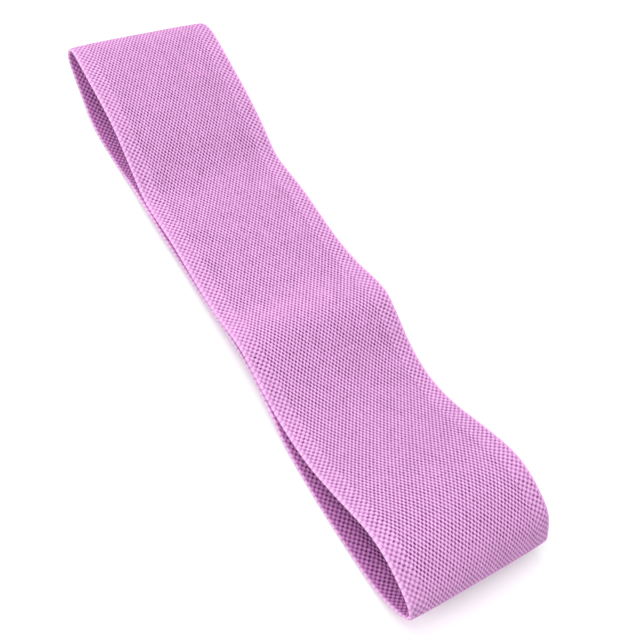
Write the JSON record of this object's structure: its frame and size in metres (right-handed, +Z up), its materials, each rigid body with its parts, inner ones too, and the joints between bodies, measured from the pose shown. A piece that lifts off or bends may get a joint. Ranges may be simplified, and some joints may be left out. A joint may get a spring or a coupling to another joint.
{
  "type": "resistance band",
  "caption": "Wide closed loop of woven elastic webbing lying slack and flattened, with a sewn lap seam inside and a stretch joint between its two ends.",
  "frame": {"origin": "middle of the band's underside, on the surface it lies on", "axes": "+X along the flattened loop from its far bight to its near bight, +Y across the webbing to its back edge, +Z up"},
  "size_m": [0.3432, 0.08, 0.0338],
  "materials": {
    "face_cloth": "woven",
    "back_cloth": "woven",
    "edge_cloth": "woven",
    "rubber_core": "matte",
    "sewing_thread": "satin"
  },
  "bodies": {
    "far_end": {"far_turn_outer_face": "face_cloth", "far_turn_inner_face": "back_cloth", "far_turn_rubber_threads": "rubber_core", "far_turn_front_selvedge": "edge_cloth", "far_turn_back_selvedge": "edge_cloth", "lower_run_outer_face": "face_cloth", "lower_run_inner_face": "back_cloth", "lower_run_rubber_threads": "rubber_core", "lower_run_front_selvedge": "edge_cloth", "lower_run_back_selvedge": "edge_cloth", "upper_run_outer_face": "face_cloth", "upper_run_inner_face": "back_cloth", "upper_run_rubber_threads": "rubber_core", "upper_run_front_selvedge": "edge_cloth", "upper_run_back_selvedge": "edge_cloth", "seam_overlap_ply": "back_cloth", "seam_stitch_row_1": "sewing_thread", "seam_stitch_row_2": "sewing_thread", "seam_stitch_row_3": "sewing_thread", "seam_stitch_row_4": "sewing_thread"},
    "near_end": {"near_turn_outer_face": "face_cloth", "near_turn_inner_face": "back_cloth", "near_turn_rubber_threads": "rubber_core", "near_turn_front_selvedge": "edge_cloth", "near_turn_back_selvedge": "edge_cloth"}
  },
  "joints": [
    {"name": "stretch", "type": "slide", "parent": "far_end", "child": "near_end", "axis": [1, 0, 0], "range_m": [0, 0.25], "stiffness_N_per_m": 500, "deforming": ["lower_run_outer_face", "lower_run_inner_face", "lower_run_rubber_threads", "lower_run_front_selvedge", "lower_run_back_selvedge", "upper_run_outer_face", "upper_run_inner_face", "upper_run_rubber_threads", "upper_run_front_selvedge", "upper_run_back_selvedge", "seam_overlap_ply", "seam_stitch_row_1", "seam_stitch_row_2", "seam_stitch_row_3", "seam_stitch_row_4"]}
  ]
}
